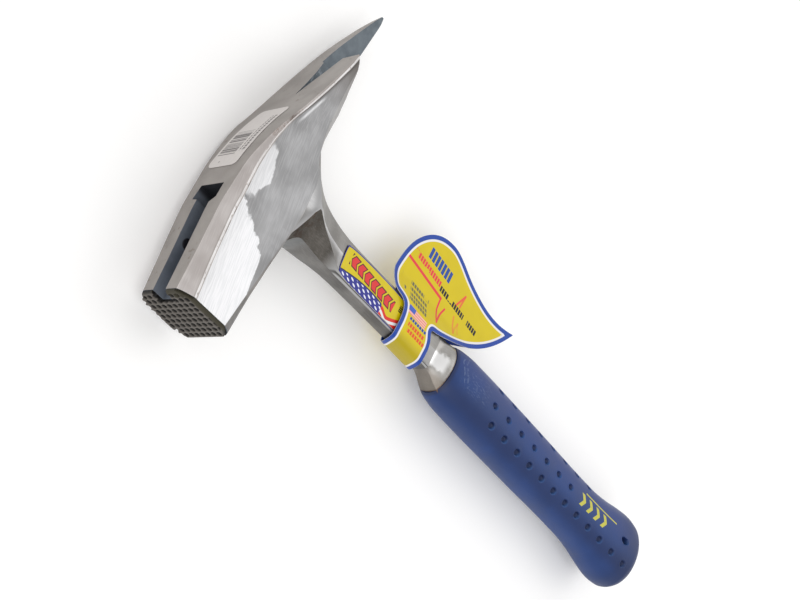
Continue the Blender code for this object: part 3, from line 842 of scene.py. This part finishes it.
def head_ring(x):
    top, flat, half, drop, cheek, low_y, low_z, keel_y, keel_z = smooth(HEAD_STATIONS, x)
    points = [(0.0, top), (flat * 0.5, top)]
    for k in range(SHOULDER_STEPS + 1):
        s = k / SHOULDER_STEPS
        points.append((flat + (half - flat) * s, top - drop * s ** 1.6))
    lip = min(LIP, 0.35 * (top - drop - low_z))
    lip_z = top - drop - lip
    points += [(cheek + 0.12, top - drop - 0.2 * lip), (cheek + 0.14, lip_z + 0.25 * lip),
               (cheek - 0.1, lip_z + 0.1 * lip), (cheek, lip_z - 0.1 * lip)]
    for s in (0.33, 0.67, 1.0):
        points.append((cheek + (low_y - cheek) * s, lip_z + (low_z - lip_z) * s))
    points.append(((low_y + keel_y) / 2 + 0.4, (low_z + keel_z) / 2 - 0.2))
    points += [(keel_y, keel_z), (keel_y * 0.5, keel_z), (0.0, keel_z)]
    return mirrored([(x, y, z) for y, z in points])


HEAD_TAGS = mirrored_tags([TAG["top"]] * 3 + [TAG["shoulder"]] * (SHOULDER_STEPS - 1)
                          + [TAG["groove"]] + [TAG["lip"]] * 2 + [TAG["groove"]]
                          + [TAG["cheek"]] * 3 + [TAG["under"]] * 4)


def rounded_out(half, amount):
    """Ease the half ring's side onto an even oval from its front edge round to its back."""
    front_x, front_y = half[4]
    back_x = half[-1][0]
    side = max(y for _, y in half)
    middle, reach = (front_x + back_x) / 2, (front_x - back_x) / 2
    start = math.asin(min(0.95, front_y / side))
    eased = half[:5]
    for k in range(5, len(half)):
        turn = start + (math.pi - start) * (k - 4) / (len(half) - 5)
        longer = reach / math.cos(start) if turn < math.pi / 2 else reach
        oval_x, oval_y = middle + longer * math.cos(turn), side * math.sin(turn)
        x, y = half[k]
        eased.append((x + (oval_x - x) * amount, y + (oval_y - y) * amount))
    return eased


def neck_ring(z):
    (front_x, front_y, crown, ridge_x, ridge_y, rim_x, rim_y,
     back_x, back_y, panel) = smooth(NECK_STATIONS, z)
    base_x = ridge_x - 0.5
    base_y = ridge_y + (rim_y - ridge_y) * 0.5 / max(ridge_x - rim_x, 0.5) - panel * 0.8
    half = [(front_x + crown * math.cos(math.pi / 2 * k / 4), front_y * k / 4) for k in range(4)]
    half.append((front_x, front_y))
    flank_x, flank_y = (front_x + ridge_x) / 2, (front_y + ridge_y) / 2
    half += [(flank_x - 0.15, flank_y - 0.15), (ridge_x, ridge_y), (base_x, base_y)]
    hollow = 0.05 * (base_x - rim_x)
    for s in (0.25, 0.5, 0.75, 1.0):
        dip = hollow * math.sin(math.pi * s) * (1.0 if panel < 0.3 else 0.0)
        half.append((base_x + (rim_x - base_x) * s, base_y + (rim_y - base_y) * s - dip))
    half += [((rim_x + back_x) / 2, (rim_y + back_y) / 2), (back_x, back_y)]
    half += [(back_x - 0.4, back_y * 0.5), (back_x - 0.5, 0.0)]
    if z < SWELL_Z:
        half = rounded_out(half, min(1.0, (SWELL_Z - z) / 6.0))
    return mirrored([(x, min(y, CHEEK), z) for x, y in half])


NECK_TAGS = mirrored_tags([TAG["front"]] * 4 + [TAG["flank"]] * 2 + [TAG["strip"]] * 5
                          + [TAG["back"]] * 4)


def soften_swell(steel):
    """Shade the swell's round side smooth, and keep the two edges of its front facet."""
    bm = bmesh.new()
    bm.from_mesh(steel.data)
    for edge in bm.edges:
        mid = (edge.verts[0].co + edge.verts[1].co) / 2
        x, z = mid.y / MM - ORIGIN.y, mid.x / MM - ORIGIN.x
        if z < SWELL_Z + 1.0 and z > MOUTH_Z - 1.0 and x < smooth(NECK_STATIONS, z)[0] - 0.6:
            edge.smooth = True
    bm.to_mesh(steel.data)
    bm.free()


def head_cutters(materials):
    """Solids cut out of the head: the claw's notch, the space under its short prong, the nail
    slot and the pocket at the slot's end."""
    far = TIP_X - 20.0
    notch = [(NOTCH_ROOT, 0.0), (-51.9, 2.0), (-59.4, 4.3), (SHORT_PRONG_X, 7.4),
             (SHORT_PRONG_X, 30.0), (far, 30.0), (far, INNER_FACE), (-70.4, INNER_FACE),
             (SHORT_PRONG_X, -4.8), (-62.8, -3.1), (-51.2, -1.1)]
    wedge = [(SHORT_PRONG_X - 2.0, -19.6), (SHORT_PRONG_X, -20.1), (-66.5, -22.0),
             (-62.0, -23.8), (-54.0, -26.0), (-48.0, -29.0), (-43.4, -36.0), (-43.4, -50.0),
             (SHORT_PRONG_X - 2.0, -50.0)]
    mouth = FACE_X + 5.0
    slot = [(POCKET_X[1] - 2.0, -SLOT_HALF[0]), (mouth, -SLOT_HALF[1]),
            (mouth, SLOT_HALF[1]), (POCKET_X[1] - 2.0, SLOT_HALF[0])]
    foot = POCKET_X[1] + 2.6
    pocket = [(POCKET_X[0], -POCKET_HALF[0]), (POCKET_X[1], -POCKET_HALF[1]),
              (POCKET_X[1] + 0.6, -4.4), (foot, -4.4), (foot, SLOT_HALF[0]),
              (POCKET_X[1] + 0.2, POCKET_HALF[1] - 0.6), (POCKET_X[0], POCKET_HALF[0])]
    return [prism("notch_cutter", notch, "XY", -60.0, 10.0, materials, TAG["cut"]),
            prism("wedge_cutter", wedge, "XZ", 0.3, 30.0, materials, TAG["under"]),
            prism("slot_cutter", slot, "XY", SLOT_FLOOR, 10.0, materials, TAG["cut"]),
            prism("pocket_cutter", pocket, "XY", SLOT_FLOOR, 10.0, materials, TAG["cut"])]


def make_steel():
    materials = [steel_top(), steel_shoulder(), steel_lip(), steel_groove(), steel_cheek(),
                 steel_under(), steel_flank(), steel_strip(), steel_back(), steel_front(),
                 steel_swell(), cut_steel()]
    cut = TAG["cut"]
    places = steps(HEAD_STATIONS, 1.6)[:-1] + [FACE_X - PLATE]
    steel = loft("steel_forging", [head_ring(x) for x in places], HEAD_TAGS, materials, (cut, cut))
    neck = loft("neck", [neck_ring(z) for z in steps(NECK_STATIONS, 1.2)], NECK_TAGS, materials,
                (TAG["front"], TAG["front"]))
    boolean(steel, "UNION", neck)
    cutters = head_cutters(materials)
    for cutter in cutters:
        boolean(steel, "DIFFERENCE", cutter)
    apply_modifiers(steel)
    remove(cutters + [neck])
    for face in steel.data.polygons:
        if face.material_index in (TAG["flank"], TAG["strip"], TAG["back"], TAG["front"]):
            if face.center.x < (SWELL_Z + ORIGIN.x) * MM:
                face.material_index = TAG["swell"]
    shade(steel, 24)
    soften_swell(steel)
    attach(steel, "hammer")
    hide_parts("hammer_forging")


def inside_face(y, z):
    """Distance inside the face's outline: sides, crown, lower bevels, bottom and slot."""
    top, flat, half, drop, cheek, low_y, low_z, keel_y, keel_z = HEAD_STATIONS[0][1:]
    a = abs(y)
    crown = top - drop * max(0.0, (a - flat) / (half - flat)) ** 1.6 - z
    run = math.hypot(low_y - keel_y, low_z - keel_z)
    bevel = ((low_y - a) * (low_z - keel_z) + (z - low_z) * (low_y - keel_y)) / run
    inside = min(cheek - a, crown, z - keel_z, bevel)
    return min(inside, SLOT_FLOOR - z) if a < SLOT_HALF[1] + 0.3 else inside


def face_height(y, z, inside):
    """Where the milled surface stands on X. The pits run out through the far side and the
    bottom, and stay short of the chamfers at the near side and the top."""
    u, v = (y - PIT_LEAN * z) / PIT_PITCH[0], z / PIT_PITCH[1]
    du, dv = abs(u - round(u)) / PIT_REACH[0], abs(v - round(v)) / PIT_REACH[1]
    pit = max(0.0, 1.0 - (du ** 2.4 + dv ** 2.4) ** (1 / 2.4))
    plain = 1.3 if y > 11.0 or z > -10.0 else -1.0
    pit = min(1.0, 2.2 * pit) * min(1.0, max(0.0, (inside - plain) / 0.5))
    return FACE_X + 0.35 - PIT_DEPTH * pit - 0.5 * max(0.0, plain - inside)


def make_face():
    """Milled plate set in the striking face: a grid of pits, chamfered at its edge."""
    step = 0.25
    bm = bmesh.new()
    grid = {}
    for i in range(int(32 / step) + 1):
        for j in range(int(31 / step) + 1):
            y, z = -16.0 + step * i, -36.0 + step * j
            inside = inside_face(y, z)
            if inside >= 0.0:
                grid[i, j] = bm.verts.new((face_height(y, z, inside), y, z))
    for (i, j) in grid:
        corners = [(i, j), (i + 1, j), (i + 1, j + 1), (i, j + 1)]
        if all(c in grid for c in corners):
            bm.faces.new([grid[c] for c in corners])
    loose = [v for v in bm.verts if not v.link_faces]
    bmesh.ops.delete(bm, geom=loose, context="VERTS")
    rim = [e for e in bm.edges if e.is_boundary]
    made = bmesh.ops.extrude_edge_only(bm, edges=rim)["geom"]
    for vert in made:
        if isinstance(vert, bmesh.types.BMVert):
            vert.co.x = FACE_X - PLATE_BACK
    bmesh.ops.holes_fill(bm, edges=[e for e in bm.edges if e.is_boundary])
    plate = add_object("milled_face", bm, [face_steel()])
    shade(plate, 50)
    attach(plate, "hammer")


def make_magnet():
    x, z, radius, thick = MAGNET
    wall = -(SLOT_HALF[0] + SLOT_HALF[1]) / 2
    bm = bmesh.new()
    bmesh.ops.create_cone(bm, cap_ends=True, segments=48, radius1=radius, radius2=radius,
                          depth=thick)
    bmesh.ops.rotate(bm, matrix=Matrix.Rotation(math.pi / 2, 3, "X"), verts=bm.verts)
    bmesh.ops.translate(bm, vec=(x, wall - thick / 2 + 0.35, z), verts=bm.verts)
    rims = [e for e in bm.edges if len(e.link_faces) == 2 and e.calc_face_angle(0.0) > 1.0]
    bmesh.ops.bevel(bm, geom=rims, offset=0.25, segments=3, affect="EDGES", profile=0.5)
    magnet = add_object("slot_magnet", bm, [magnet_metal()])
    shade(magnet, 30)
    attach(magnet, "hammer")
    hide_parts("nail_magnet")


# ---------------------------------------------------------------- grip

def grip_point(angle, z):
    depth, thick = smooth(GRIP_STATIONS, z)
    c, s = math.cos(angle), math.sin(angle)
    return (depth * math.copysign(abs(c) ** 0.93, c), thick * math.copysign(abs(s) ** 0.93, s), z)


def surface_place(angle_degrees, z):
    """Point on the grip in the direction of that angle from its axis, and its outward normal."""
    wanted = math.radians(angle_degrees)
    depth, thick = smooth(GRIP_STATIONS, z)
    around = math.atan2(math.sin(wanted) * depth, math.cos(wanted) * thick)
    point = Vector(grip_point(around, z))
    side = Vector(grip_point(around + 0.02, z)) - Vector(grip_point(around - 0.02, z))
    up = Vector(grip_point(around, z + 0.5)) - Vector(grip_point(around, z - 0.5))
    normal = side.cross(up).normalized()
    if normal.dot(Vector((point.x, point.y, 0.0))) < 0.0:
        normal.negate()
    return point, normal


def press_dimple(points, pressed, worn, angle, z, along, across, depth):
    """Press one steep-walled dimple into the grid of points. pressed keeps how deep, 0 to 1, and
    the next argument keeps a painted highlight on the rim's side towards the front and the butt."""
    point, normal = surface_place(angle, z)
    up = (Vector((0, 0, 1)) - normal * normal.z).normalized()
    side = up.cross(normal)
    away = points - np.array(point)
    u, v = away @ np.array(side) / across, away @ np.array(up) / along
    reach = np.hypot(u, v)
    close = np.abs(away @ np.array(normal)) < 3.0
    inside = (reach < 1.2) & close
    wall = np.clip((1.12 - reach) / 0.45, 0.0, 1.0)
    share = np.where(inside, wall * wall * (3.0 - 2.0 * wall), 0.0)
    # A slight raised rim stands round each dimple.
    rim = np.where(inside | (reach < 1.5), np.exp(-((reach - 1.25) / 0.16) ** 2), 0.0)
    rim *= close
    points += (0.12 * rim - depth * share)[..., None] * np.array(normal)
    np.maximum(pressed, share, out=pressed)
    # Painted highlight kept on the rim's side towards the front and the butt.
    leaning = away @ np.array((0.7, 0.0, -0.7)) / (0.5 * (along + across))
    np.maximum(worn, np.exp(-((reach - 1.0) / 0.2) ** 2) * np.clip(leaning, 0.0, 1.0) * close,
               out=worn)


def make_grip():
    sides = 300
    around = [2 * math.pi * k / sides for k in range(sides)]
    places = steps(GRIP_STATIONS, 0.5)
    points = np.array([[grip_point(a, z) for a in around] for z in places])
    pressed, worn = np.zeros(points.shape[:2]), np.zeros(points.shape[:2])
    dimples = [(side * angle, start + pitch * k, along, across, 1.5)
               for angle, start, pitch, count, along, across in DIMPLES
               for k in range(count) for side in (1, -1)]
    angle, z, along, across = HANG_HOLE
    dimples += [(side * angle, z, along, across, 3.4) for side in (1, -1)]
    for dimple in dimples:
        press_dimple(points, pressed, worn, *dimple)
    rings = [[tuple(p) for p in ring] for ring in points]
    crown = rings[0]
    for shrink, rise in ((0.6, -0.25), (0.25, -0.35)):
        rings.insert(0, [(x * shrink, y * shrink, GRIP_END + rise) for x, y, _ in crown])
    grip = loft("moulded_grip", rings, [0] * sides, [grip_vinyl()])
    for name, values in (("pressed", pressed), ("worn", worn)):
        layer = grip.data.attributes.new(name, "FLOAT", "POINT")
        layer.data.foreach_set("value", np.concatenate([np.zeros(2 * sides), values.ravel()]))
    shade(grip, 60)
    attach(grip, "hammer")
    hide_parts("grip")


# ---------------------------------------------------------------- thin sheets

def outline_distance(outline, x, z):
    """Distance from the point to the closed outline."""
    p = np.array((x, z))
    a = np.array(outline)
    b = np.roll(a, -1, axis=0)
    run = b - a
    t = np.clip(((p - a) * run).sum(1) / np.maximum((run * run).sum(1), 1e-12), 0.0, 1.0)
    return float(np.sqrt((((a + run * t[:, None]) - p) ** 2).sum(1)).min())


def rounded(points, passes, closed):
    """Corner-cutting: each pass swaps every corner for two points, a quarter in from it."""
    for _ in range(passes):
        nearly = []
        after = points[1:] + points[:1] if closed else points[1:]
        for (ax, ay), (bx, by) in zip(points, after):
            nearly += [(0.75 * ax + 0.25 * bx, 0.75 * ay + 0.25 * by),
                       (0.25 * ax + 0.75 * bx, 0.25 * ay + 0.75 * by)]
        points = nearly if closed else [points[0]] + nearly + [points[-1]]
    return points


def sheet(name, outline, cell, place, thickness, made):
    """A thin closed card: the outline is gridded, bent by place(u, v) and given a thickness."""
    bm = bmesh.new()
    bm.faces.new([bm.verts.new((u, v, 0.0)) for u, v in outline])
    for axis in (0, 1):
        low = min(p[axis] for p in outline)
        high = max(p[axis] for p in outline)
        normal = (1, 0, 0) if axis == 0 else (0, 1, 0)
        for k in range(1, int((high - low) / cell)):
            at = low + cell * k
            centre = (at, 0, 0) if axis == 0 else (0, at, 0)
            bmesh.ops.bisect_plane(bm, geom=bm.verts[:] + bm.edges[:] + bm.faces[:],
                                   plane_co=centre, plane_no=normal, dist=1e-5)
    layer = bm.verts.layers.float.new("edge")
    for vert in bm.verts:
        vert[layer] = outline_distance(outline, vert.co.x, vert.co.y)
        vert.co = place(vert.co.x, vert.co.y)
    obj = add_object(name, bm, [made])
    solid = obj.modifiers.new("thickness", "SOLIDIFY")
    solid.thickness = thickness * MM
    solid.offset = 0.0
    solid.use_even_offset = True
    apply_modifiers(obj)
    shade(obj, 40)
    return obj


def make_sticker():
    x0, x1, y0, y1 = -31.6, 7.5, -11.0, 7.5
    radius = 2.6
    turns = [(x0 + radius, y0 + radius, 180), (x1 - radius, y0 + radius, 270),
             (x1 - radius, y1 - radius, 0), (x0 + radius, y1 - radius, 90)]
    outline = []
    for cx, cy, start in turns:
        for k in range(7):
            a = math.radians(start + 15 * k)
            outline.append((cx + radius * math.cos(a), cy + radius * math.sin(a)))
    paper = sheet("bar_sticker", outline, 1.0,
                  lambda x, y: (x, y, smooth(HEAD_STATIONS, x)[0] + 0.16), 0.14, paper_sticker())
    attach(paper, "hammer")
    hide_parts("head_sticker")


def make_label():
    corners = [(-9.3, -70.4), (-4.6, -70.3), (-0.8, -70.9), (3.2, -71.4), (5.8, -72.6),
               (6.7, -75.0), (6.6, -131.8), (-9.4, -131.8)]
    outline = rounded(corners, 3, True)

    def place(x, z):
        panel = smooth(NECK_STATIONS, z)
        bulge = max(0.0, -73.5 - z - 0.4 * x)
        return (x, max(4.55, panel[6] + 0.35 if bulge < 1.0 else 4.6) + 0.06, z)

    film = sheet("printed_label", outline, 0.8, place, 0.12, label_film())
    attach(film, "hammer")
    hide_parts("shank_label")


def leaf_path():
    """The leaf's cross-section with its corners rounded, as running length, x and y."""
    points = [LEAF_PATH[0]] + rounded(LEAF_PATH, 3, False)
    lengths = [0.0]
    for (ax, ay), (bx, by) in zip(points[:-1], points[1:]):
        lengths.append(lengths[-1] + math.hypot(bx - ax, by - ay))
    return np.array(lengths), np.array(points)


def make_tag():
    """One folded card: the far leaf, the fold round the shank's front, and the near leaf."""
    lengths, points = leaf_path()
    order = np.argsort(points[:, 0][::-1])
    xs, run = points[:, 0][::-1][order], lengths[::-1][order]

    def run_at(x):
        return float(np.interp(x, xs, run))

    half, low = rounded(LEAF_TOP, 2, False), rounded(LEAF_LOW, 2, False)
    near = [(run_at(x), z) for x, z in half + low[1:]]
    # The far leaf is a little smaller all round, so that it stays behind the near one.
    rest = [(x + 1.0, z) for x, z in half if z < -104.5 and x < -36.0]
    hidden = rounded(FAR_TOP, 2, False) + rest
    far = [(-run_at(x), z) for x, z in hidden + [(x, z + 0.8) for x, z in low[1:]]]
    outline = near + far[::-1]

    def place(s, z):
        x = float(np.interp(abs(s), lengths, points[:, 0]))
        y = math.copysign(float(np.interp(abs(s), lengths, points[:, 1])), s)
        front = max(0.0, (x - BAND_TAIL) / (LEAF_PATH[0][0] - BAND_TAIL))
        shift = -BAND_DROP * front * (0.5 - y / 12.2)
        return (x, y, z + shift)

    tag = sheet("card_tag", outline, 0.9, place, 0.34, tag_card())
    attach(tag, "tag")
    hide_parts("hang_tag")


# ---------------------------------------------------------------- studio

def add_light(name, place, size, power):
    data = bpy.data.lights.new(name, "AREA")
    data.size = size
    data.energy = power
    light = bpy.data.objects.new(name, data)
    light.location = place
    bpy.context.scene.collection.objects.link(light)
    light.rotation_euler = (-light.location).to_track_quat("-Z", "Y").to_euler()


def add_floor():
    bm = bmesh.new()
    bmesh.ops.create_grid(bm, x_segments=1, y_segments=1, size=4.0)
    mesh = bpy.data.meshes.new("floor")
    bm.to_mesh(mesh)
    bm.free()
    floor = bpy.data.objects.new("floor", mesh)
    bpy.context.scene.collection.objects.link(floor)
    paint = bpy.data.materials.new("pale_floor")
    paint.use_nodes = True
    shader = paint.node_tree.nodes["Principled BSDF"].inputs
    shader["Base Color"].default_value = (0.96, 0.96, 0.96, 1.0)
    shader["Roughness"].default_value = 0.9
    shader["Specular IOR Level"].default_value = 0.0
    shader["Emission Color"].default_value = (1.0, 1.0, 1.0, 1.0)
    shader["Emission Strength"].default_value = 0.08
    mesh.materials.append(paint)


def make_studio():
    scene = bpy.context.scene
    scene.view_settings.view_transform = "Standard"
    add_floor()
    scene.world = bpy.data.worlds.new("studio")
    scene.world.use_nodes = True
    sky = scene.world.node_tree.nodes["Background"].inputs
    sky["Color"].default_value = (1.0, 0.99, 0.98, 1.0)
    sky["Strength"].default_value = 0.74
    add_light("key", (0.25, 0.95, 1.25), 1.3, 8.0)
    add_light("cheek_light", (-0.85, -0.7, 1.1), 1.3, 4.5)


def make_camera():
    """Seen from above the striking face's side, looking down towards the claw and the grip."""
    data = bpy.data.cameras.new("camera")
    data.sensor_width = 36.0
    data.lens = 59.27
    data.clip_start = 0.01
    camera = bpy.data.objects.new("camera", data)
    bpy.context.scene.collection.objects.link(camera)
    forward = Vector((-0.5519, -0.4580, -0.6969)).normalized()
    up = Vector((0.6111, -0.7908, 0.0358))
    right = forward.cross(up).normalized()
    up = right.cross(forward)
    turn = Matrix((right, up, -forward)).transposed().to_4x4()
    camera.matrix_world = Matrix.Translation(to_row((262.7, 416.0, 216.2))) @ turn
    bpy.context.scene.camera = camera


make_steel()
make_face()
make_magnet()
make_grip()
make_sticker()
make_label()
make_tag()
make_studio()
make_camera()
